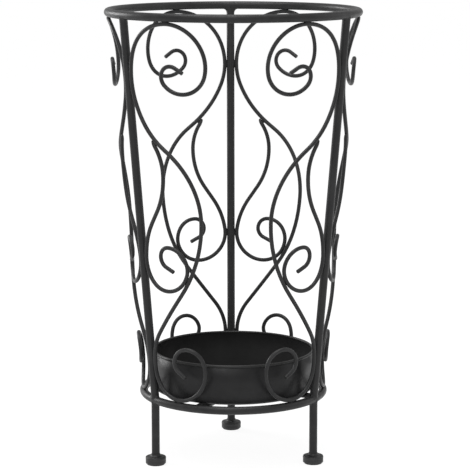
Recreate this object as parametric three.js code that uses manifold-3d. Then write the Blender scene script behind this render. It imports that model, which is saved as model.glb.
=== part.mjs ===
/**
 * Wrought-wire umbrella stand with a lift-out drip pan.
 *
 * Millimetres, +Z up. The origin is on the floor, under the middle of the stand.
 * The rear leg is on the +Y side, and the front of the stand faces -Y.
 *
 * Two round rings are held apart by three rods, so that they lie on a cone. The scrolls are
 * bent from thinner wire, flat, and then laid on that cone between the rods.
 */
import * as THREE from 'three';
import { mergeVertices } from 'three/addons/utils/BufferGeometryUtils.js';
import Module from 'manifold-3d';

// Driving sizes
const HEIGHT = 460;
const TOP_DIAMETER = 260;
const BASE_DIAMETER = 193;
const BASE_RING_HEIGHT = 67;
const ROD_RADIUS = 4;
const WIRE_RADIUS = 1.9;
const WELD_GAP = 0.3;
const LEG_AZIMUTHS = { rear: 90, left: 210, right: 330 };

// Ring centre lines, and the cone that runs through them
const TOP_RING_RADIUS = TOP_DIAMETER / 2 - ROD_RADIUS;
const TOP_RING_HEIGHT = HEIGHT - ROD_RADIUS;
const BASE_RING_RADIUS = BASE_DIAMETER / 2 - ROD_RADIUS;
const CONE_SLOPE = (TOP_RING_RADIUS - BASE_RING_RADIUS) / (TOP_RING_HEIGHT - BASE_RING_HEIGHT);

// Foot cap and the glide stuck under it
const GLIDE_RADIUS = 9;
const GLIDE_THICKNESS = 0.8;
const FOOT_RADIUS = 10.5;
const FOOT_BOTTOM = GLIDE_THICKNESS + WELD_GAP;
const FOOT_SHOULDER = 8.4;
const FOOT_WAIST_RADIUS = 6.2;
const FOOT_WAIST_HEIGHT = 9.2;
const FOOT_TOP = 11;
const FOOT_SOCKET_FLOOR = 5;
const FOOT_SOCKET_RADIUS = ROD_RADIUS + WELD_GAP;
const FOOT_NECK_RADIUS = 5.1;
const FOOT_EDGE = 1.0;
const FOOT_SHOULDER_TURN = 70;

// Cross bars that carry the pan: two flat bars, one lying over the other
const BAR_WIDTH = 14;
const BAR_THICKNESS = 2.5;
const UPPER_BAR_AZIMUTH = 154;
const LOWER_BAR_AZIMUTH = 64;
const LOWER_BAR_BOTTOM = BASE_RING_HEIGHT - BAR_THICKNESS - WELD_GAP;
const UPPER_BAR_BOTTOM = LOWER_BAR_BOTTOM + BAR_THICKNESS + WELD_GAP;

// Drip pan
const PAN_RIM_RADIUS = 83.5;
const PAN_WALL_RADIUS = 82.7;
const PAN_BOTTOM = UPPER_BAR_BOTTOM + BAR_THICKNESS + WELD_GAP;
const PAN_TOP = 110.6;
const PAN_SHEET = 1.2;
const PAN_CORNER = 3;
const PAN_BEAD = 1.5;
const PAN_BEAD_START = -60;
const PAN_BEAD_END = 120;

// Centre distances of pieces that are welded side by side
const WIRE_TO_ROD = ROD_RADIUS + WIRE_RADIUS + WELD_GAP;

/**
 * The long scroll, in the flat: across from the leg's centre line, and up.
 * It is described from its crest, which touches the top ring. Each bend is [radius, degrees],
 * anticlockwise when positive, and each straight is [length].
 */
const CREST = { across: 59.8, height: TOP_RING_HEIGHT - WIRE_TO_ROD };
const CREST_TO_FOOT = [
  [53, 66], [60, 45], [98, 32], [7.1], [79, -57], [136, -34],
  [55.1], [52, 45], [31, 87], [32.5, 102], [17, 148], [11, 70], [9],
];
const CREST_TO_EYE = [[38, -106], [26, -120], [11, -166], [9]];

/** The short scroll hangs from a lap joint on the long one and ends in a curl beside the leg. */
const LAP = { across: 30.3, height: 334.7, heading: -49 };
const LAP_TO_EYE = [
  [46, -41], [72, -35], [16.4], [74, 27], [29, 68], [26.8, 101], [20, 113], [10.5, 151], [10],
];

// Facets
const CHORD_ERROR = 0.3;
const STRAIGHT_STEP = 14;
const WIRE_SIDES = 6;
const ROD_SIDES = 12;
const RING_STEPS = 56;
const LATHE_STEPS = 24;
const PAN_STEPS = 48;

const coat = (color, roughness) => new THREE.MeshStandardMaterial({ color, roughness, metalness: 0.3 });
const FRAME_COAT = coat(0x2f2f30, 0.45);
const SCROLL_COAT = coat(0x343435, 0.45);
const FOOT_COAT = coat(0x29292a, 0.55);
const PAN_COAT = coat(0x262627, 0.38);
const GLIDE_RUBBER = new THREE.MeshStandardMaterial({ color: 0x151515, roughness: 0.9, metalness: 0 });

const radians = THREE.MathUtils.degToRad;
const coneRadius = (height) => BASE_RING_RADIUS + CONE_SLOPE * (height - BASE_RING_HEIGHT);

const wasm = await Module();
wasm.setup();

function toManifold(geometry) {
  const bare = new THREE.BufferGeometry();
  bare.setAttribute('position', geometry.getAttribute('position'));
  bare.setIndex(geometry.getIndex());
  const welded = mergeVertices(bare);
  return new wasm.Manifold(new wasm.Mesh({
    numProp: 3,
    vertProperties: new Float32Array(welded.getAttribute('position').array),
    triVerts: new Uint32Array(welded.getIndex().array),
  }));
}

function toGeometry(solid) {
  const mesh = solid.getMesh();
  const geometry = new THREE.BufferGeometry();
  geometry.setAttribute('position', new THREE.BufferAttribute(mesh.vertProperties, 3));
  geometry.setIndex(new THREE.BufferAttribute(mesh.triVerts, 1));
  geometry.computeVertexNormals();
  return geometry;
}

/** The point at a distance and azimuth from the stand's axis, at a height above the floor. */
function around(radius, azimuth, height) {
  const angle = radians(azimuth);
  return new THREE.Vector3(radius * Math.cos(angle), radius * Math.sin(angle), height);
}

/** A route through given points that a section is swept along, with one station at each point. */
class Route extends THREE.Curve {
  constructor(points) {
    super();
    this.points = points;
  }

  getUtoTmapping(u) {
    return u;
  }

  getPoint(t) {
    const last = this.points.length - 1;
    const station = THREE.MathUtils.clamp(t, 0, 1) * last;
    const from = Math.min(Math.floor(station), last - 1);
    return this.points[from].clone().lerp(this.points[from + 1], station - from);
  }
}

function roundSection(radius, sides) {
  const section = new THREE.Shape();
  for (let side = 0; side < sides; side += 1) {
    const angle = (side / sides) * 2 * Math.PI;
    const corner = [radius * Math.cos(angle), radius * Math.sin(angle)];
    if (side === 0) section.moveTo(...corner);
    else section.lineTo(...corner);
  }
  section.closePath();
  return section;
}

function sweep(points, radius, sides) {
  return new THREE.ExtrudeGeometry(roundSection(radius, sides), {
    steps: points.length - 1,
    extrudePath: new Route(points),
  });
}

/** Points along a wire that starts at a place and heading in the flat and takes each bend in turn. */
function bendFlat(across, height, heading, bends) {
  const points = [new THREE.Vector2(across, height)];
  let direction = radians(heading);
  for (const [size, degrees = 0] of bends) {
    const turn = radians(degrees);
    const widestStep = 2 * Math.acos(1 - CHORD_ERROR / size);
    const steps = Math.ceil(turn === 0 ? size / STRAIGHT_STEP : Math.abs(turn) / widestStep);
    const chord = turn === 0 ? size / steps : 2 * size * Math.abs(Math.sin(turn / steps / 2));
    for (let step = 0; step < steps; step += 1) {
      direction += turn / steps / 2;
      const move = new THREE.Vector2(Math.cos(direction), Math.sin(direction)).multiplyScalar(chord);
      points.push(points[points.length - 1].clone().add(move));
      direction += turn / steps / 2;
    }
  }
  return points;
}

/** Lays flat points on the cone. The side is 1 to go anticlockwise from the leg, and -1 the other way. */
function layOnCone(flat, legAzimuth, side) {
  return flat.map(({ x, y }) => {
    const radius = coneRadius(y);
    return around(radius, legAzimuth + side * THREE.MathUtils.radToDeg(x / radius), y);
  });
}

function longScroll() {
  const eyeEnd = bendFlat(CREST.across, CREST.height, 0, CREST_TO_EYE);
  const footEnd = bendFlat(CREST.across, CREST.height, 180, CREST_TO_FOOT);
  return [...eyeEnd.reverse(), ...footEnd.slice(1)];
}

function shortScroll() {
  return bendFlat(LAP.across, LAP.height, LAP.heading, LAP_TO_EYE);
}

function ringGeometry(radius, tube, height) {
  const geometry = new THREE.TorusGeometry(radius, tube, ROD_SIDES, RING_STEPS);
  return geometry.translate(0, 0, height);
}

/** Cuts a rod's end to the shape of the ring that it is welded to. */
function cope(rod, ringRadius, ringHeight) {
  const clearance = ringGeometry(ringRadius, ROD_RADIUS + WELD_GAP, ringHeight);
  return toGeometry(toManifold(rod).subtract(toManifold(clearance)));
}

/** A rod from the underside of the top ring down to the crown of the base ring. */
function uprightGeometry(azimuth) {
  const top = around(TOP_RING_RADIUS, azimuth, TOP_RING_HEIGHT);
  const bottom = around(BASE_RING_RADIUS, azimuth, BASE_RING_HEIGHT);
  const along = top.clone().sub(bottom).normalize();
  const cropTop = top.clone().addScaledVector(along, -WELD_GAP);
  const cropBottom = bottom.clone().addScaledVector(along, WELD_GAP);
  const rod = sweep([cropBottom, cropTop], ROD_RADIUS, ROD_SIDES);
  const lower = cope(rod, BASE_RING_RADIUS, BASE_RING_HEIGHT);
  return cope(lower, TOP_RING_RADIUS, TOP_RING_HEIGHT);
}

/** The short vertical rod from the base ring down into its foot's socket. */
function shankGeometry(azimuth) {
  const top = around(BASE_RING_RADIUS, azimuth, BASE_RING_HEIGHT - WELD_GAP);
  const bottom = around(BASE_RING_RADIUS, azimuth, FOOT_SOCKET_FLOOR + WELD_GAP);
  return cope(sweep([bottom, top], ROD_RADIUS, ROD_SIDES), BASE_RING_RADIUS, BASE_RING_HEIGHT);
}

/** Turns a closed outline of [radius, height] corners about the vertical axis. */
function turned(outline, steps) {
  const corners = [...outline, outline[0]].map(([radius, height]) => new THREE.Vector2(radius, height));
  return new THREE.LatheGeometry(corners, steps).rotateX(Math.PI / 2);
}

/** [radius, height] corners of an arc, from one angle to the other in degrees, both ends included. */
function arcCorners(radius, height, size, from, to, steps) {
  return Array.from({ length: steps + 1 }, (_, index) => {
    const angle = radians(from + ((to - from) * index) / steps);
    return [radius + size * Math.cos(angle), height + size * Math.sin(angle)];
  });
}

/** A moulded foot cap: a disc with rounded edges and a low collar, with a blind socket for the shank. */
function footGeometry() {
  const edge = FOOT_RADIUS - FOOT_EDGE;
  return turned([
    [0, FOOT_BOTTOM],
    ...arcCorners(edge, FOOT_BOTTOM + FOOT_EDGE, FOOT_EDGE, -90, 0, 2),
    ...arcCorners(edge, FOOT_SHOULDER - FOOT_EDGE, FOOT_EDGE, 0, FOOT_SHOULDER_TURN, 2),
    [FOOT_WAIST_RADIUS, FOOT_WAIST_HEIGHT],
    [FOOT_NECK_RADIUS, FOOT_TOP],
    [FOOT_SOCKET_RADIUS, FOOT_TOP],
    [FOOT_SOCKET_RADIUS, FOOT_SOCKET_FLOOR],
    [0, FOOT_SOCKET_FLOOR],
  ], LATHE_STEPS);
}

function glideGeometry() {
  const disc = new THREE.CylinderGeometry(GLIDE_RADIUS, GLIDE_RADIUS, GLIDE_THICKNESS, LATHE_STEPS);
  return disc.rotateX(Math.PI / 2).translate(0, 0, GLIDE_THICKNESS / 2);
}

/** A flat bar across the base ring, cut so that its four corners reach the ring's inner side. */
function barGeometry() {
  const reach = BASE_RING_RADIUS - ROD_RADIUS - WELD_GAP;
  const length = 2 * Math.sqrt(reach ** 2 - (BAR_WIDTH / 2) ** 2);
  return new THREE.BoxGeometry(length, BAR_WIDTH, BAR_THICKNESS).translate(0, 0, BAR_THICKNESS / 2);
}

/** A pressed pan: flat floor, rounded corner, steep wall and a rim rolled over outwards. */
function panGeometry() {
  const innerCorner = PAN_CORNER - PAN_SHEET;
  const cornerRadius = PAN_WALL_RADIUS - PAN_CORNER;
  const cornerHeight = PAN_BOTTOM + PAN_CORNER;
  const beadHeight = PAN_TOP - PAN_BEAD;
  const beadRadius = PAN_RIM_RADIUS - PAN_BEAD;
  return turned([
    [0, PAN_BOTTOM],
    ...arcCorners(cornerRadius, cornerHeight, PAN_CORNER, -90, 0, 3),
    ...arcCorners(beadRadius, beadHeight, PAN_BEAD, PAN_BEAD_START, PAN_BEAD_END, 6),
    [beadRadius - PAN_SHEET, beadHeight],
    ...arcCorners(cornerRadius, cornerHeight, innerCorner, 0, -90, 3),
    [0, PAN_BOTTOM + PAN_SHEET],
  ], PAN_STEPS);
}

const stand = new THREE.Group();

function add(name, geometry, material) {
  const mesh = new THREE.Mesh(geometry, material);
  mesh.name = name;
  stand.add(mesh);
  return mesh;
}

add('top_ring', ringGeometry(TOP_RING_RADIUS, ROD_RADIUS, TOP_RING_HEIGHT), FRAME_COAT);
add('base_ring', ringGeometry(BASE_RING_RADIUS, ROD_RADIUS, BASE_RING_HEIGHT), FRAME_COAT);

const longFlat = longScroll();
const shortFlat = shortScroll();
const SIDES = { clockwise: -1, anticlockwise: 1 };

for (const [place, azimuth] of Object.entries(LEG_AZIMUTHS)) {
  const underLeg = around(BASE_RING_RADIUS, azimuth, 0);
  add(`upright_${place}`, uprightGeometry(azimuth), FRAME_COAT);
  add(`leg_${place}`, shankGeometry(azimuth), FRAME_COAT);
  add(`foot_${place}`, footGeometry(), FOOT_COAT).position.copy(underLeg);
  add(`glide_${place}`, glideGeometry(), GLIDE_RUBBER).position.copy(underLeg);
  for (const [turn, side] of Object.entries(SIDES)) {
    const longRoute = layOnCone(longFlat, azimuth, side);
    const shortRoute = layOnCone(shortFlat, azimuth, side);
    add(`long_scroll_${place}_${turn}`, sweep(longRoute, WIRE_RADIUS, WIRE_SIDES), SCROLL_COAT);
    add(`short_scroll_${place}_${turn}`, sweep(shortRoute, WIRE_RADIUS, WIRE_SIDES), SCROLL_COAT);
  }
}

const lowerBar = add('cross_bar_lower', barGeometry(), FRAME_COAT);
lowerBar.position.z = LOWER_BAR_BOTTOM;
lowerBar.rotation.z = radians(LOWER_BAR_AZIMUTH);
const upperBar = add('cross_bar_upper', barGeometry(), FRAME_COAT);
upperBar.position.z = UPPER_BAR_BOTTOM;
upperBar.rotation.z = radians(UPPER_BAR_AZIMUTH);

add('drip_pan', panGeometry(), PAN_COAT);

export default stand;
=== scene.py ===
"""
The looks of the umbrella stand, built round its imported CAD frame.
Metres, +Z up, the stand's front towards -Y.
"""

import math

import bmesh
import bpy
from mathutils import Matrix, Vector, geometry, noise


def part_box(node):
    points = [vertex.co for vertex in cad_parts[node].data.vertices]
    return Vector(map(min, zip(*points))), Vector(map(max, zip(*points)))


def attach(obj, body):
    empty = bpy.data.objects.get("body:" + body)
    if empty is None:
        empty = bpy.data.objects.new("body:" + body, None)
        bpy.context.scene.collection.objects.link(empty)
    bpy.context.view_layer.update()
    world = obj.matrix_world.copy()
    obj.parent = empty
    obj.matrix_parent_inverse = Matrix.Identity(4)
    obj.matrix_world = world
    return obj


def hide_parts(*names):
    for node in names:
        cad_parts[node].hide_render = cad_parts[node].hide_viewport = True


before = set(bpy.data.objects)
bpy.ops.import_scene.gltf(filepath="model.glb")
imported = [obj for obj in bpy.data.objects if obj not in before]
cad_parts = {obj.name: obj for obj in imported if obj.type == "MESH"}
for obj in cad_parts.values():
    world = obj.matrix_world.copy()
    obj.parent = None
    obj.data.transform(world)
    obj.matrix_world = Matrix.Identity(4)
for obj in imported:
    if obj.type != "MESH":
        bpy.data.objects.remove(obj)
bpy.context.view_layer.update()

MM = 0.001
LEGS = {"rear": 90, "left": 210, "right": 330}
SIDES = {"clockwise": -1, "anticlockwise": 1}

# Sizes read from the frame
TOP_LOW, TOP_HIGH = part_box("top_ring")
BASE_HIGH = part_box("base_ring")[1]
PAN_LOW, PAN_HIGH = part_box("drip_pan")
FOOT_LOW, FOOT_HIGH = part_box("foot_rear")
GLIDE_LOW, GLIDE_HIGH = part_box("glide_rear")
BARE_ROD = (TOP_HIGH.z - TOP_LOW.z) / 2
TOP_RADIUS = TOP_HIGH.x - BARE_ROD
TOP_HEIGHT = TOP_HIGH.z - BARE_ROD
BASE_RADIUS = BASE_HIGH.x - BARE_ROD
BASE_HEIGHT = BASE_HIGH.z - BARE_ROD
CONE_SLOPE = (TOP_RADIUS - BASE_RADIUS) / (TOP_HEIGHT - BASE_HEIGHT)
PAN_RADIUS = PAN_HIGH.x

# The wire's radius, and the gap that the CAD leaves for a weld
BARE_WIRE = 1.9 * MM
WELD_GAP = 0.3 * MM
WIRE_TO_ROD = BARE_ROD + BARE_WIRE + WELD_GAP

# The scrolls' bends, as in the CAD, in millimetres and degrees. Each bend is [radius, turn] and each
# straight is [length]. A long scroll starts at its crest, and a short one where it laps the long one.
CREST_ACROSS = 59.8
CREST_HEIGHT = (TOP_HEIGHT - WIRE_TO_ROD) / MM
CREST_TO_FOOT = [
    [53, 66], [60, 45], [98, 32], [7.1], [79, -57], [136, -34],
    [55.1], [52, 45], [31, 87], [32.5, 102], [17, 148], [11, 70], [9],
]
CREST_TO_EYE = [[38, -106], [26, -120], [11, -166], [9]]
LAP_ACROSS, LAP_HEIGHT, LAP_HEADING = 30.3, 334.7, -49
LAP_TO_EYE = [
    [46, -41], [72, -35], [16.4], [74, 27], [29, 68], [26.8, 101], [20, 113], [10.5, 151], [10],
]

# The powder coat thickens every round bar. It is thick for a coat, to draw the bars nearer to their width
# in the photograph. The top ring moves in by its coat, to keep the stand's size.
COAT = 0.13 * MM
ROD = BARE_ROD + COAT
WIRE = BARE_WIRE + COAT
COATED_TOP_RADIUS = TOP_RADIUS - COAT
COATED_TOP_HEIGHT = TOP_HEIGHT - COAT

# Heights in millimetres between which a scroll touches an upright or another scroll
HIGH_TOUCH = (370, 430)
LOW_TOUCH = (90, 150)
SHORT_TOUCH = (190, 260)
CURL_TOUCH = (180, 220)

# Each weld web's half length and half thickness
UPRIGHT_WEB = (8 * MM, 1.5 * MM)
HIGH_UPRIGHT_WEB = (8.5 * MM, 1.5 * MM)
CREST_WEB = (8 * MM, 1.9 * MM)
BOTTOM_WEB = (6 * MM, 1.6 * MM)
LAP_WEB = (4.3 * MM, 1.3 * MM)
CURL_WEB = (4.5 * MM, 1.3 * MM)

# How far a lap's weld lies from the short scroll's end, and the length that is ground thin there
LAP_WEB_PLACE = 4.4 * MM
LAP_GRIND = 6 * MM

# How far each fillet spreads from the rod that it goes round
TOP_FILLET = 3.4 * MM
BASE_FILLET = 2.4 * MM
LEG_FILLET = 2.2 * MM

# Fineness of the meshes: degrees in a step of a bend, millimetres in a step of a straight, and counts
BEND_STEP = 3.5
STRAIGHT_STEP = 5
WIRE_SIDES = 16
ROD_SIDES = 28
ROD_STEPS = 24
RING_STEPS = 200
HALF_BAR_STEPS = 12
LATHE_STEPS = 64
PAN_STEPS = 144

# The camera, in metres and degrees, and its lens for the long side of a 36 mm sensor
CAMERA_DISTANCE = 2.036
CAMERA_HEIGHT = 0.567
CAMERA_AZIMUTH = -1.44
CAMERA_PITCH = 9.446
CAMERA_LENS = 154.5
CAMERA_SHIFT = 0.0034


# ---------------------------------------------------------------- materials

def new_material(name):
    material = bpy.data.materials.new(name)
    material.use_nodes = True
    shader = material.node_tree.nodes["Principled BSDF"]
    return material, material.node_tree, shader


def cool_grey(value):
    """A grey with a trace of blue."""
    return (value, value, value + 0.0005)


def noise_node(tree, scale, detail=3.0, roughness=0.55):
    """A noise texture in the object's own coordinates, in cycles per metre."""
    coordinates = tree.nodes.new("ShaderNodeTexCoord")
    texture = tree.nodes.new("ShaderNodeTexNoise")
    texture.inputs["Scale"].default_value = scale
    texture.inputs["Detail"].default_value = detail
    texture.inputs["Roughness"].default_value = roughness
    tree.links.new(coordinates.outputs["Object"], texture.inputs["Vector"])
    return texture.outputs["Fac"]


def ramp_node(tree, source, stops):
    """A colour ramp; each stop is (position, grey or colour)."""
    ramp = tree.nodes.new("ShaderNodeValToRGB")
    elements = ramp.color_ramp.elements
    while len(elements) < len(stops):
        elements.new(0.5)
    for element, (position, value) in zip(elements, stops):
        colour = (value,) * 3 if isinstance(value, (int, float)) else value
        element.position = position
        element.color = (*colour, 1)
    tree.links.new(source, ramp.inputs["Fac"])
    return ramp.outputs["Color"]


def range_node(tree, source, low, high, from_low=0.3, from_high=0.7):
    """Maps the middle of a noise's range onto low to high."""
    mapped = tree.nodes.new("ShaderNodeMapRange")
    mapped.inputs["From Min"].default_value = from_low
    mapped.inputs["From Max"].default_value = from_high
    mapped.inputs["To Min"].default_value = low
    mapped.inputs["To Max"].default_value = high
    tree.links.new(source, mapped.inputs["Value"])
    return mapped.outputs["Result"]


def mix_node(tree, factor, first, second):
    mix = tree.nodes.new("ShaderNodeMix")
    mix.data_type = "RGBA"
    tree.links.new(factor, mix.inputs["Factor"])
    for socket, value in ((mix.inputs["A"], first), (mix.inputs["B"], second)):
        if isinstance(value, tuple):
            socket.default_value = (*value, 1)
        else:
            tree.links.new(value, socket)
    return mix.outputs["Result"]


def bump_chain(tree, shader, layers):
    """Stacks bumps of (height source, strength, distance in metres) into the shader's normal."""
    normal = None
    for height, strength, distance in layers:
        bump = tree.nodes.new("ShaderNodeBump")
        bump.inputs["Strength"].default_value = strength
        bump.inputs["Distance"].default_value = distance
        tree.links.new(height, bump.inputs["Height"])
        if normal:
            tree.links.new(normal, bump.inputs["Normal"])
        normal = bump.outputs["Normal"]
    tree.links.new(normal, shader.inputs["Normal"])


def painted_light_mask(tree):
    """About 1 on faces that look up or towards the pan's middle, and 0 on the others. It places the pan's
    painted light.
    """
    coordinates = tree.nodes.new("ShaderNodeTexCoord")
    flat = tree.nodes.new("ShaderNodeVectorMath")
    flat.operation = "MULTIPLY"
    flat.inputs[1].default_value = (-1, -1, 0)
    tree.links.new(coordinates.outputs["Object"], flat.inputs[0])
    inwards = tree.nodes.new("ShaderNodeVectorMath")
    inwards.operation = "NORMALIZE"
    tree.links.new(flat.outputs["Vector"], inwards.inputs[0])
    upwards = tree.nodes.new("ShaderNodeVectorMath")
    upwards.operation = "ADD"
    upwards.inputs[1].default_value = (0, 0, 1)
    tree.links.new(inwards.outputs["Vector"], upwards.inputs[0])
    facing = tree.nodes.new("ShaderNodeVectorMath")
    facing.operation = "DOT_PRODUCT"
    tree.links.new(upwards.outputs["Vector"], facing.inputs[0])
    tree.links.new(coordinates.outputs["Normal"], facing.inputs[1])
    return range_node(tree, facing.outputs["Value"], 0, 1, 0.1, 0.9)


def rim_highlight_mask(tree):
    """1 on the pan's rolled rim and 0 below it, with a short blend between. It places the rim's painted
    highlight.
    """
    blend_low = PAN_HIGH.z - 3.2 * MM
    blend_high = PAN_HIGH.z - 2.4 * MM
    coordinates = tree.nodes.new("ShaderNodeTexCoord")
    parts = tree.nodes.new("ShaderNodeSeparateXYZ")
    tree.links.new(coordinates.outputs["Object"], parts.inputs["Vector"])
    return range_node(tree, parts.outputs["Z"], 0, 1, blend_low, blend_high)


def powder_coat(name, dark, light, roughness, peel=0.35, painted_inside_light=None, painted_rim_highlight=None):
    """
    Satin powder coat: faint mottling, an orange-peel skin and a little dust that pales it in patches.
    On a pan, painted light makes its inside and upward faces lighter and mottled, and a painted highlight
    makes its rim paler. On a pan, the dry film is a guessed trace of dripped water inside it, and its rim
    is rubbed paler.
    """
    dark, light = cool_grey(dark), cool_grey(light)
    material, tree, shader = new_material(name)
    colour = ramp_node(tree, noise_node(tree, 90, 4), [(0.3, dark), (0.7, light)])
    dust = range_node(tree, noise_node(tree, 22, 5, 0.65), 0, 0.35, 0.5, 0.75)
    dusty = tuple(channel * 1.9 + 0.004 for channel in light)
    colour = mix_node(tree, dust, colour, dusty)
    # Painted light: the pan's inside and upward faces get a lighter, mottled colour.
    if painted_inside_light:
        inside_light_mottle = noise_node(tree, 34, 4, 0.6)
        inside_light_colour = ramp_node(tree, inside_light_mottle, [(0.3, painted_inside_light * 0.85), (0.7, painted_inside_light * 1.15)])
        colour = mix_node(tree, painted_light_mask(tree), colour, inside_light_colour)
    # Painted highlight: the pan's rolled rim gets a paler colour than its wall.
    if painted_rim_highlight:
        colour = mix_node(tree, rim_highlight_mask(tree), colour, (painted_rim_highlight,) * 3)
    tree.links.new(colour, shader.inputs["Base Color"])
    sheen = range_node(tree, noise_node(tree, 140, 3), roughness - 0.05, roughness + 0.08)
    tree.links.new(sheen, shader.inputs["Roughness"])
    shader.inputs["Specular IOR Level"].default_value = 0.22
    bump_chain(tree, shader, [
        (noise_node(tree, 420, 2, 0.4), peel, 0.10 * MM),
        (noise_node(tree, 1600, 2, 0.5), peel * 0.6, 0.03 * MM),
    ])
    return material


def moulded_plastic():
    """The foot caps: fine spark-eroded grain, slightly scuffed."""
    material, tree, shader = new_material("foot_moulding")
    scuffs = ramp_node(tree, noise_node(tree, 160, 5, 0.7), [
        (0.35, cool_grey(0.012)),
        (0.62, cool_grey(0.017)),
        (0.8, 0.03),
    ])
    tree.links.new(scuffs, shader.inputs["Base Color"])
    tree.links.new(range_node(tree, noise_node(tree, 300, 3), 0.46, 0.6), shader.inputs["Roughness"])
    bump_chain(tree, shader, [(noise_node(tree, 2600, 2, 0.6), 0.4, 0.04 * MM)])
    return material


def rubber():
    """The glides: dull black rubber with a little floor grime."""
    material, tree, shader = new_material("glide_rubber")
    grime = ramp_node(tree, noise_node(tree, 260, 4, 0.6), [(0.35, 0.006), (0.7, 0.02)])
    tree.links.new(grime, shader.inputs["Base Color"])
    tree.links.new(range_node(tree, noise_node(tree, 500, 2), 0.75, 0.92), shader.inputs["Roughness"])
    shader.inputs["Specular IOR Level"].default_value = 0.3
    bump_chain(tree, shader, [(noise_node(tree, 1800, 3, 0.6), 0.5, 0.05 * MM)])
    return material


FRAME_COAT = powder_coat("frame_coat", 0.0165, 0.022, 0.38)
SCROLL_COAT = powder_coat("scroll_coat", 0.0175, 0.0235, 0.38)
WELD_COAT = powder_coat("weld_coat", 0.0155, 0.0215, 0.44, peel=0.6)
# The pan's lighter inside colour is painted light, and its paler rim is a painted highlight.
PAN_COAT = powder_coat("pan_coat", 0.0115, 0.0145, 0.35, painted_inside_light=0.033, painted_rim_highlight=0.019)
FOOT_PLASTIC = moulded_plastic()
RUBBER = rubber()


# ---------------------------------------------------------------- mesh code

def add_piece(name, vertices, faces, material, body, replaced=(), sharp_angle=35):
    """Makes one closed piece, shaded smooth except across edges sharper than the given angle."""
    mesh = bpy.data.meshes.new(name)
    mesh.from_pydata([tuple(vertex) for vertex in vertices], [], faces)
    shell = bmesh.new()
    shell.from_mesh(mesh)
    bmesh.ops.recalc_face_normals(shell, faces=shell.faces)
    shell.to_mesh(mesh)
    shell.free()
    mesh.polygons.foreach_set("use_smooth", [True] * len(mesh.polygons))
    mesh.set_sharp_from_angle(angle=math.radians(sharp_angle))
    mesh.materials.append(material)
    piece = bpy.data.objects.new(name, mesh)
    bpy.context.scene.collection.objects.link(piece)
    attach(piece, body)
    if replaced:
        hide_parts(*replaced)


def around(radius, azimuth, height):
    """The point at a radius from the stand's axis, an azimuth in degrees from +X, and a height."""
    angle = math.radians(azimuth)
    return Vector((radius * math.cos(angle), radius * math.sin(angle), height))


def turning_frames(centres, closed):
    """A pair of crosswise directions at each centre, carried along the line without twisting."""
    count = len(centres)
    tangents = []
    for index in range(count):
        if closed:
            ahead, behind = centres[(index + 1) % count], centres[index - 1]
        else:
            ahead, behind = centres[min(index + 1, count - 1)], centres[max(index - 1, 0)]
        tangents.append((ahead - behind).normalized())
    across = tangents[0].orthogonal().normalized()
    frames = []
    for tangent in tangents:
        across = (across - tangent * across.dot(tangent)).normalized()
        frames.append((across, tangent.cross(across)))
    return frames


def wall_faces(rows, width, closed=False, first=0):
    """Faces between each row of corners and the next, and between the last and the first if closed."""
    faces = []
    for row in range(rows if closed else rows - 1):
        near = first + row * width
        far = first + (row + 1) % rows * width
        for column in range(width):
            after = (column + 1) % width
            faces.append((near + column, near + after, far + after, far + column))
    return faces


def end_faces(rows, width):
    """Faces that close the first row of corners and the last."""
    return [tuple(reversed(range(width))), tuple(range((rows - 1) * width, rows * width))]


def bar_mesh(centres, radii, sides, closed=False):
    """Vertices and faces of a round bar along a line of centres, with flat ends unless it is closed."""
    vertices = []
    for centre, radius, (across, over) in zip(centres, radii, turning_frames(centres, closed)):
        for side in range(sides):
            angle = 2 * math.pi * side / sides
            vertices.append(centre + (across * math.cos(angle) + over * math.sin(angle)) * radius)
    faces = wall_faces(len(centres), sides, closed)
    if not closed:
        faces += end_faces(len(centres), sides)
    return vertices, faces


def with_ground_ends(centres, radius, chamfer=0.35 * MM):
    """Centres and radii of a bar whose cut ends are ground to a small chamfer."""
    first = (centres[0] - centres[1]).normalized()
    last = (centres[-1] - centres[-2]).normalized()
    start = [centres[0], centres[0] - first * chamfer]
    end = [centres[-1] - last * chamfer, centres[-1]]
    line = [*start, *centres[1:-1], *end]
    radii = [radius - chamfer, *[radius] * (len(line) - 2), radius - chamfer]
    return line, radii


def bend_flat(across, height, heading, bends):
    """Points along a wire in the flat, from a place and a heading, taking each bend in turn."""
    points = [(across, height)]
    direction = math.radians(heading)
    for size, *rest in bends:
        turn = math.radians(rest[0]) if rest else 0.0
        steps = math.ceil(math.degrees(abs(turn)) / BEND_STEP if turn else size / STRAIGHT_STEP)
        chord = 2 * size * math.sin(abs(turn) / steps / 2) if turn else size / steps
        for _ in range(steps):
            direction += turn / steps / 2
            x, y = points[-1]
            points.append((x + chord * math.cos(direction), y + chord * math.sin(direction)))
            direction += turn / steps / 2
    return points


def lay_on_cone(flat, leg_azimuth, side):
    """Lays flat millimetre points on the cone through both rings, beside a leg."""
    laid = []
    for across, height in flat:
        radius = BASE_RADIUS + CONE_SLOPE * (height * MM - BASE_HEIGHT)
        turn = math.degrees(across * MM / radius)
        laid.append(around(radius, leg_azimuth + side * turn, height * MM))
    return laid


def turned_mesh(outline, steps, centre=Vector((0, 0, 0))):
    """One closed mesh, from an outline of (radius, height) that runs from the axis to the axis."""
    vertices = []
    rows = []
    for radius, height in outline:
        if radius < 1e-7:
            rows.append([len(vertices)] * steps)
            vertices.append(centre + Vector((0, 0, height)))
        else:
            rows.append(list(range(len(vertices), len(vertices) + steps)))
            vertices += [centre + around(radius, 360 * step / steps, height) for step in range(steps)]
    faces = []
    for low, high in zip(rows, rows[1:]):
        for step in range(steps):
            after = (step + 1) % steps
            corners = (low[step], low[after], high[after], high[step])
            faces.append(tuple(dict.fromkeys(corners)))
    return vertices, faces


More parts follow.
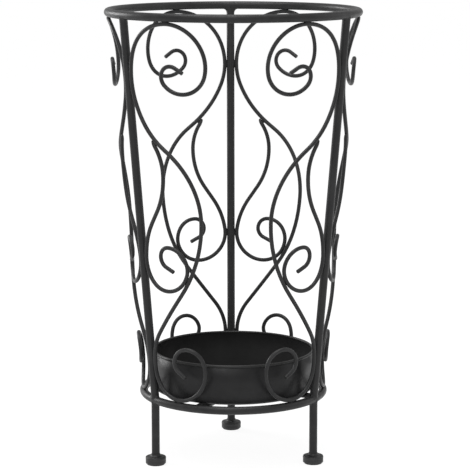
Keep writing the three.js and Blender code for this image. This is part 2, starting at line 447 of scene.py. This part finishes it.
def arc(radius, height, size, start, end, steps):
    """(radius, height) corners of an arc, both ends included."""
    angles = [math.radians(start + (end - start) * step / steps) for step in range(steps + 1)]
    return [(radius + size * math.cos(angle), height + size * math.sin(angle)) for angle in angles]


def joined(meshes):
    """Several (vertices, faces) meshes as one."""
    vertices, faces = [], []
    for some_vertices, some_faces in meshes:
        start = len(vertices)
        vertices += some_vertices
        faces += [tuple(start + index for index in face) for face in some_faces]
    return vertices, faces


# ---------------------------------------------------------------- rods and rings

def ring(name, radius, height):
    centres = [around(radius, 360 * step / RING_STEPS, height) for step in range(RING_STEPS)]
    vertices, faces = bar_mesh(centres, [ROD] * RING_STEPS, ROD_SIDES, closed=True)
    add_piece(name, vertices, faces, FRAME_COAT, "frame", [name])


def rod(name, start, end):
    centres = [start.lerp(end, step / ROD_STEPS) for step in range(ROD_STEPS + 1)]
    vertices, faces = bar_mesh(centres, [ROD] * len(centres), ROD_SIDES)
    add_piece(name, vertices, faces, FRAME_COAT, "frame", [name])


def uprights_and_legs():
    """The straight rods. Each runs a little way into the ring that it meets, short of its centre line."""
    inset = 0.6 * ROD
    for place, azimuth in LEGS.items():
        top = around(COATED_TOP_RADIUS, azimuth, COATED_TOP_HEIGHT)
        bottom = around(BASE_RADIUS, azimuth, BASE_HEIGHT)
        along = (top - bottom).normalized()
        rod(f"upright_{place}", bottom + along * inset, top - along * inset)
        foot_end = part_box(f"leg_{place}")[0].z
        rod(f"leg_{place}", around(BASE_RADIUS, azimuth, foot_end), bottom - Vector((0, 0, inset)))


# ---------------------------------------------------------------- scrolls

LONG_FLAT = [
    *reversed(bend_flat(CREST_ACROSS, CREST_HEIGHT, 0, CREST_TO_EYE)),
    *bend_flat(CREST_ACROSS, CREST_HEIGHT, 180, CREST_TO_FOOT)[1:],
]
SHORT_FLAT = bend_flat(LAP_ACROSS, LAP_HEIGHT, LAP_HEADING, LAP_TO_EYE)


def ground_flush(centres, radii, other):
    """Centres and radii of a wire that is ground thin at its start, against the wire that it laps."""
    start = centres[0]
    flush = []
    thinned = []
    for centre, radius in zip(centres, radii):
        share = min(1, (centre - start).length / LAP_GRIND)
        thin = radius * (0.5 + 0.5 * share * (2 - share))
        towards = (nearest_on(other, centre) - centre).normalized()
        flush.append(centre + towards * (radius - thin))
        thinned.append(thin)
    return flush, thinned


def scroll(name, centres, radii):
    vertices, faces = bar_mesh(centres, radii, WIRE_SIDES)
    add_piece(name, vertices, faces, SCROLL_COAT, "frame", [name])


def scrolls():
    for place, azimuth in LEGS.items():
        for turn, side in SIDES.items():
            long_line = lay_on_cone(LONG_FLAT, azimuth, side)
            short_line = lay_on_cone(SHORT_FLAT, azimuth, side)
            scroll(f"long_scroll_{place}_{turn}", *with_ground_ends(long_line, WIRE))
            short = ground_flush(*with_ground_ends(short_line, WIRE), long_line)
            scroll(f"short_scroll_{place}_{turn}", *short)


# ---------------------------------------------------------------- welds

def nugget_mesh(centre, along, outward, half_length, half_width, half_depth, seed):
    """A tack weld between two bars: a blunt, slightly uneven lens of metal."""
    along = along.normalized()
    outward = (outward - along * outward.dot(along)).normalized()
    across = along.cross(outward)
    rings, sides = 13, 16
    vertices = [centre - along * half_length]
    for row in range(1, rings):
        angle = math.pi * row / rings
        reach = -math.cos(angle)
        girth = math.sin(angle) ** 0.6
        for side in range(sides):
            turn = 2 * math.pi * side / sides
            offset = across * math.cos(turn) * half_width + outward * math.sin(turn) * half_depth
            direction = Vector((reach * 3, math.cos(turn), math.sin(turn)))
            wobble = 1 + 0.14 * noise.noise(direction * 1.3 + Vector((seed, seed * 0.7, 3.1)))
            vertices.append(centre + along * reach * half_length + offset * girth * wobble)
    vertices.append(centre + along * half_length)
    faces = [(0, 1 + (side + 1) % sides, 1 + side) for side in range(sides)]
    faces += wall_faces(rings - 1, sides, first=1)
    last = 1 + (rings - 2) * sides
    faces += [(last + side, last + (side + 1) % sides, len(vertices) - 1) for side in range(sides)]
    return vertices, faces


def walk(line, index, distance):
    """The point a signed distance along a line of points from one of them, held at the line's ends."""
    step = 1 if distance >= 0 else -1
    left = abs(distance)
    while 0 <= index + step < len(line):
        span = (line[index + step] - line[index]).length
        if span >= left:
            return line[index].lerp(line[index + step], left / span)
        left -= span
        index += step
    return line[index]


def nearest_on(line, point):
    """The nearest place to a point on a line of points."""
    best = None
    for start, end in zip(line, line[1:]):
        place, share = geometry.intersect_point_line(point, start, end)
        place = start if share < 0 else end if share > 1 else place
        if best is None or (place - point).length < (best - point).length:
            best = place
    return best


def nearest_on_ring(radius, height):
    """A function that gives the nearest place to a point on a ring's centre line."""
    def nearest(point):
        return around(radius, math.degrees(math.atan2(point.y, point.x)), height)
    return nearest


def web_mesh(line, index, centre, size, nearest, sunk, seed):
    """
    Weld metal that fills the crease between a wire and whatever it touches. It runs from the wire's
    centre line to a sunk distance short of the other piece's, and is hollowed where it bridges the gap.
    """
    half_length, half_thickness = size
    shortening, thinning = 0.55, 0.25
    unevenness, unevenness_rate = 0.16, 520
    rows, columns = 18, 16
    skins = ([], [])
    for row in range(rows + 1):
        share = 2 * row / rows - 1
        for column in range(columns + 1):
            depth = column / columns
            hollow = (4 * depth * (1 - depth)) ** 10
            at = centre + share * half_length * (1 - shortening * hollow)
            start = walk(line, index, at)
            along = walk(line, index, at + 0.3 * MM) - walk(line, index, at - 0.3 * MM)
            reach = nearest(start) - start
            across = reach.normalized()
            outward = along.cross(across).normalized()
            place = start + across * (reach.length - sunk) * depth
            ripple = 1 + unevenness * noise.noise(place * unevenness_rate + Vector((seed, 0, 0)))
            girth = max(0.12, (1 - abs(share) ** 2.5) ** 0.5) * (1 - thinning * hollow)
            for side, skin in zip((1, -1), skins):
                skin.append(place + outward * side * half_thickness * girth * ripple)
    width, count = columns + 1, (rows + 1) * (columns + 1)
    faces = []
    for row in range(rows):
        for column in range(columns):
            corner = row * width + column
            quad = (corner, corner + 1, corner + width + 1, corner + width)
            faces += [quad, tuple(count + number for number in reversed(quad))]
    rim = [*range(width), *[row * width + columns for row in range(1, rows + 1)]]
    rim += [*range(count - 2, count - width - 1, -1), *[row * width for row in range(rows - 1, 0, -1)]]
    for here, after in zip(rim, [*rim[1:], rim[0]]):
        faces.append((here, count + here, count + after, after))
    return skins[0] + skins[1], faces


def closest_index(line, nearest, heights, first=1):
    """The index of the point on a line, between two heights in mm, that is closest to another piece."""
    low, high = (height * MM for height in heights)
    inside = [index for index in range(first, len(line)) if low <= line[index].z <= high]
    return min(inside, key=lambda index: (nearest(line[index]) - line[index]).length)


def scroll_welds():
    """Webs where the scrolls touch the uprights, the rings and each other."""
    on_top_ring = nearest_on_ring(COATED_TOP_RADIUS, COATED_TOP_HEIGHT)
    on_base_ring = nearest_on_ring(BASE_RADIUS, BASE_HEIGHT)
    crest = len(bend_flat(CREST_ACROSS, CREST_HEIGHT, 0, CREST_TO_EYE)) - 1
    meshes = []
    for azimuth in LEGS.values():
        upright = [
            around(COATED_TOP_RADIUS, azimuth, COATED_TOP_HEIGHT),
            around(BASE_RADIUS, azimuth, BASE_HEIGHT),
        ]

        def on_upright(point):
            return nearest_on(upright, point)

        for side in SIDES.values():
            long_line = lay_on_cone(LONG_FLAT, azimuth, side)
            short_line = lay_on_cone(SHORT_FLAT, azimuth, side)

            def on_long(point):
                return nearest_on(long_line, point)

            high = closest_index(long_line, on_upright, HIGH_TOUCH, crest)
            low = closest_index(long_line, on_upright, LOW_TOUCH, crest)
            middle = closest_index(short_line, on_upright, SHORT_TOUCH)
            bottom = min(range(crest, len(long_line)), key=lambda index: long_line[index].z)
            curl = closest_index(short_line, on_long, CURL_TOUCH, len(short_line) // 2)
            seed = azimuth / 10 + side * 3
            meshes += [
                web_mesh(long_line, high, 0, HIGH_UPRIGHT_WEB, on_upright, ROD / 2, seed),
                web_mesh(long_line, low, 0, UPRIGHT_WEB, on_upright, ROD / 2, seed + 1),
                web_mesh(short_line, middle, 0, UPRIGHT_WEB, on_upright, ROD / 2, seed + 2),
                web_mesh(long_line, crest, 0, CREST_WEB, on_top_ring, ROD / 2, seed + 4),
                web_mesh(long_line, bottom, 0, BOTTOM_WEB, on_base_ring, ROD / 2, seed + 5),
                web_mesh(short_line, 0, LAP_WEB_PLACE, LAP_WEB, on_long, 0, seed + 6),
                web_mesh(short_line, curl, 0, CURL_WEB, on_long, 0, seed + 7),
            ]
    vertices, faces = joined(meshes)
    add_piece("scroll_welds", vertices, faces, WELD_COAT, "frame", sharp_angle=80)


def hollow_curve(start, corner, end, share):
    """A point part of the way along a curve from start to end that is drawn towards a corner."""
    left = 1 - share
    return tuple(
        left ** 2 * a + 2 * share * left * (0.85 * b + 0.15 * (a + c) / 2) + share ** 2 * c
        for a, b, c in zip(start, corner, end)
    )


def fillet_mesh(ring_centre, rod_direction, tangent, size, seed):
    """
    A concave weld round a rod that butts into a ring of the same bar. Each section runs from inside the
    ring, out onto it, in a hollow curve up the rod, and back down inside the rod.
    """
    rod_direction = rod_direction.normalized()
    tangent = tangent.normalized()
    radial = rod_direction.cross(tangent)
    inside = 0.8 * ROD
    sections, curve_steps = 48, 6
    vertices = []
    for section in range(sections):
        angle = 2 * math.pi * section / sections
        across, beside = math.cos(angle), math.sin(angle)
        wobble = 1 + 0.10 * noise.noise(Vector((across * 2, beside * 2, seed)))
        reach = size * wobble * (0.15 + 0.85 * abs(beside) ** 0.7)
        bottom = ROD * math.sqrt(max(0.0, 1 - across ** 2))
        out = ROD + reach
        off = min(abs(out * across), ROD) * (1 if across >= 0 else -1)
        on_ring = (off, out * beside, math.sqrt(max(0.0, ROD ** 2 - off ** 2)))
        corner = (ROD * across, ROD * beside, bottom)
        on_rod = (ROD * across, ROD * beside, bottom + reach * 1.25)
        shares = [step / curve_steps for step in range(curve_steps + 1)]
        outline = [
            (off * 0.9, out * 0.97 * beside, on_ring[2] * 0.8),
            *[hollow_curve(on_ring, corner, on_rod, share) for share in shares],
            (inside * across, inside * beside, bottom + reach * 1.1),
            (inside * across, inside * beside, 0.6 * bottom),
        ]
        for x, y, z in outline:
            vertices.append(ring_centre + radial * x + tangent * y + rod_direction * z)
    return vertices, wall_faces(sections, len(outline), closed=True)


def rod_welds():
    """The fillets where each upright and leg meets a ring."""
    meshes = []
    for index, azimuth in enumerate(LEGS.values()):
        top = around(COATED_TOP_RADIUS, azimuth, COATED_TOP_HEIGHT)
        bottom = around(BASE_RADIUS, azimuth, BASE_HEIGHT)
        tangent = around(1, azimuth + 90, 0)
        along = top - bottom
        meshes.append(fillet_mesh(top, -along, tangent, TOP_FILLET, index))
        meshes.append(fillet_mesh(bottom, along, tangent, BASE_FILLET, index + 4))
        meshes.append(fillet_mesh(bottom, Vector((0, 0, -1)), tangent, LEG_FILLET, index + 8))
    vertices, faces = joined(meshes)
    add_piece("rod_welds", vertices, faces, WELD_COAT, "frame", sharp_angle=70)


# ---------------------------------------------------------------- feet

def feet():
    """The foot caps: a disc with a groove and a raised band, and a collar that sweeps up to the leg."""
    radius = (FOOT_HIGH.x - FOOT_LOW.x) / 2
    low, top = FOOT_LOW.z, FOOT_HIGH.z
    shoulder = low + 7.2 * MM
    socket = ROD + 0.05 * MM
    socket_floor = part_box("leg_rear")[0].z - WELD_GAP
    edge = 0.9 * MM
    side = radius - 0.15 * MM
    groove = side - 0.12 * MM
    neck = socket + 0.45 * MM
    sweep_steps = 12
    outline = [
        (0, low),
        *arc(side - edge, low + edge, edge, -90, 0, 8),
        (side, low + 3.5 * MM),
        (groove, low + 3.9 * MM),
        (side, low + 4.3 * MM),
        (side, low + 4.7 * MM),
        (radius, low + 5.0 * MM),
        (radius, low + 5.5 * MM),
        (side, low + 5.8 * MM),
        *arc(side - edge, shoulder - edge, edge, 8, 80, 7),
    ]
    start_radius, start_height = outline[-1]
    for step in range(1, sweep_steps + 1):
        share = step / sweep_steps
        outline.append((
            start_radius + (neck - start_radius) * (1 - (1 - share) ** 2.4),
            start_height + (top - start_height) * share ** 2.0,
        ))
    outline += [
        (neck - 0.3 * MM, top),
        (socket, top - 0.2 * MM),
        (socket, socket_floor),
        (0, socket_floor),
    ]
    for place, azimuth in LEGS.items():
        name = f"foot_{place}"
        vertices, faces = turned_mesh(outline, LATHE_STEPS, around(BASE_RADIUS, azimuth, 0))
        add_piece(name, vertices, faces, FOOT_PLASTIC, "frame", [name])


def glides():
    """The rubber pads: a disc with a worn lower edge, stuck under each foot cap."""
    radius = (GLIDE_HIGH.x - GLIDE_LOW.x) / 2
    top = FOOT_LOW.z
    edge = 0.3 * MM
    outline = [(0, 0), *arc(radius - edge, edge, edge, -90, 0, 5), (radius, top), (0, top)]
    for place, azimuth in LEGS.items():
        name = f"glide_{place}"
        vertices, faces = turned_mesh(outline, LATHE_STEPS, around(BASE_RADIUS, azimuth, 0))
        add_piece(name, vertices, faces, RUBBER, "frame", [name])


# ---------------------------------------------------------------- cross bars

def flat_bar_mesh(half_length, half_width, low, high, azimuth):
    """A flat bar with its long edges rolled round."""
    round_over = 0.7 * MM
    corners = []
    for across, up, start in ((1, 1, 0), (-1, 1, 90), (-1, -1, 180), (1, -1, 270)):
        centre_across = across * (half_width - round_over)
        centre_height = (low + high) / 2 + up * ((high - low) / 2 - round_over)
        corners += arc(centre_across, centre_height, round_over, start, start + 90, 4)
    direction, sideways = around(1, azimuth, 0), around(1, azimuth + 90, 0)
    steps = range(-HALF_BAR_STEPS, HALF_BAR_STEPS + 1)
    stations = [half_length * step / HALF_BAR_STEPS for step in steps]
    vertices = [
        direction * station + sideways * across + Vector((0, 0, height))
        for station in stations for across, height in corners
    ]
    size = (len(stations), len(corners))
    return vertices, wall_faces(*size) + end_faces(*size)


def bar_run(name):
    """A cross bar's azimuth, half length and half width, from the corners of its CAD solid."""
    points = [vertex.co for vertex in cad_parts[name].data.vertices]
    far = max(points, key=lambda point: point.xy.length)
    partner = min(
        (point for point in points if (point.xy - far.xy).length > MM),
        key=lambda point: (point.xy - far.xy).length,
    )
    end = (far + partner) / 2
    azimuth = math.degrees(math.atan2(end.y, end.x))
    half_width = (far.xy - partner.xy).length / 2
    return azimuth, end.xy.length, half_width


def cross_bars():
    """The two flat bars, one over the other, and the tack welds at their ends."""
    upwards = Vector((0, 0, 1))
    bead = (1.1 * MM, 1.15 * MM)
    welds = []
    for name in ("cross_bar_lower", "cross_bar_upper"):
        low, high = (corner.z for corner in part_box(name))
        azimuth, half_length, half_width = bar_run(name)
        vertices, faces = flat_bar_mesh(half_length, half_width, low, high, azimuth)
        add_piece(name, vertices, faces, FRAME_COAT, "frame", [name], sharp_angle=50)
        sideways = around(1, azimuth + 90, 0)
        for turn in (0, 180):
            end = around(half_length + WELD_GAP, azimuth + turn, (low + high) / 2)
            welds.append(nugget_mesh(end, sideways, upwards, half_width * 0.95, *bead, turn))
    vertices, faces = joined(welds)
    add_piece("cross_bar_welds", vertices, faces, WELD_COAT, "frame", sharp_angle=80)


# ---------------------------------------------------------------- drip pan

def drip_pan():
    """Pressed sheet: a floor with a raised middle, a rounded corner, a steep wall and a rolled rim."""
    sheet = 1.0 * MM
    corner = 3.2 * MM
    bead = 1.45 * MM
    low, high = PAN_LOW.z, PAN_HIGH.z
    wall = PAN_RADIUS - 0.8 * MM
    bead_radius, bead_height = PAN_RADIUS - bead, high - bead
    raised, raised_radius = 0.7 * MM, 64 * MM
    ease_width, ease_steps = 3 * MM, 8

    def pressed_floor(height, inwards):
        """The floor's line between the axis and the corner. It eases down from the raised middle."""
        line = [(0, height + raised)]
        for step in range(ease_steps + 1):
            share = step / ease_steps
            lift = raised * (1 - share * share * (3 - 2 * share))
            line.append((raised_radius + ease_width * (share - 0.5), height + lift))
        return list(reversed(line)) if inwards else line

    outline = [
        *pressed_floor(low, False),
        *arc(wall - corner, low + corner, corner, -90, 0, 8),
        (wall + 0.05 * MM, (low + high) / 2),
        (wall, bead_height - bead * 1.1),
        *arc(bead_radius, bead_height, bead, -75, 180, 18),
        (wall - sheet, bead_height - bead),
        (wall - sheet + 0.05 * MM, (low + high) / 2),
        *arc(wall - corner, low + corner, corner - sheet, 0, -90, 8),
        *pressed_floor(low + sheet, True),
    ]
    vertices, faces = turned_mesh(outline, PAN_STEPS)
    add_piece("drip_pan", vertices, faces, PAN_COAT, "pan", ["drip_pan"], sharp_angle=60)


# ---------------------------------------------------------------- camera, light and floor

def camera():
    data = bpy.data.cameras.new("camera")
    data.lens = CAMERA_LENS
    data.shift_x = CAMERA_SHIFT
    data.clip_start, data.clip_end = 0.05, 100
    eye = bpy.data.objects.new("camera", data)
    azimuth = math.radians(CAMERA_AZIMUTH)
    eye.location = (
        CAMERA_DISTANCE * math.sin(azimuth),
        -CAMERA_DISTANCE * math.cos(azimuth),
        CAMERA_HEIGHT,
    )
    eye.rotation_euler = (math.radians(90 - CAMERA_PITCH), 0, azimuth)
    bpy.context.scene.collection.objects.link(eye)
    bpy.context.scene.camera = eye


def area_light(name, place, target, size, power):
    """A round soft box of a diameter in metres and a power in watts, aimed at a target."""
    data = bpy.data.lights.new(name, "AREA")
    data.shape = "DISK"
    data.size = size
    data.energy = power
    lamp = bpy.data.objects.new(name, data)
    lamp.location = place
    lamp.rotation_euler = (Vector(target) - Vector(place)).to_track_quat("-Z", "Y").to_euler()
    bpy.context.scene.collection.objects.link(lamp)


def lights():
    world = bpy.data.worlds.new("studio")
    world.use_nodes = True
    background = world.node_tree.nodes["Background"]
    background.inputs["Color"].default_value = (1, 1, 1, 1)
    background.inputs["Strength"].default_value = 0.55
    bpy.context.scene.world = world
    middle = (0, 0, 0.25)
    area_light("left_box", (-2.0, 1.4, 0.9), middle, 1.3, 34)
    area_light("right_box", (2.0, 0.3, 1.0), middle, 1.6, 5)
    area_light("top_box", (-0.3, -0.1, 2.4), middle, 1.4, 34)
    area_light("front_box", (-0.5, -1.9, 1.9), middle, 1.6, 16)


def floor():
    """A grey ground that glows almost white by itself, because the photograph's shows no shadow."""
    half = 14
    corners = [(-half, -half, 0), (half, -half, 0), (half, half, 0), (-half, half, 0)]
    mesh = bpy.data.meshes.new("floor")
    mesh.from_pydata(corners, [], [(0, 1, 2, 3)])
    material, tree, shader = new_material("floor_paper")
    tint = ramp_node(tree, noise_node(tree, 6, 2), [(0.3, 0.145), (0.7, 0.155)])
    tree.links.new(tint, shader.inputs["Base Color"])
    shader.inputs["Emission Color"].default_value = (1, 1, 1, 1)
    shader.inputs["Emission Strength"].default_value = 0.9
    shader.inputs["Roughness"].default_value = 0.9
    shader.inputs["Specular IOR Level"].default_value = 0.1
    mesh.materials.append(material)
    plane = bpy.data.objects.new("floor", mesh)
    bpy.context.scene.collection.objects.link(plane)


camera()
ring("top_ring", COATED_TOP_RADIUS, COATED_TOP_HEIGHT)
ring("base_ring", BASE_RADIUS, BASE_HEIGHT)
uprights_and_legs()
scrolls()
scroll_welds()
rod_welds()
feet()
glides()
cross_bars()
drip_pan()
lights()
floor()
bpy.context.scene.view_settings.view_transform = "Standard"
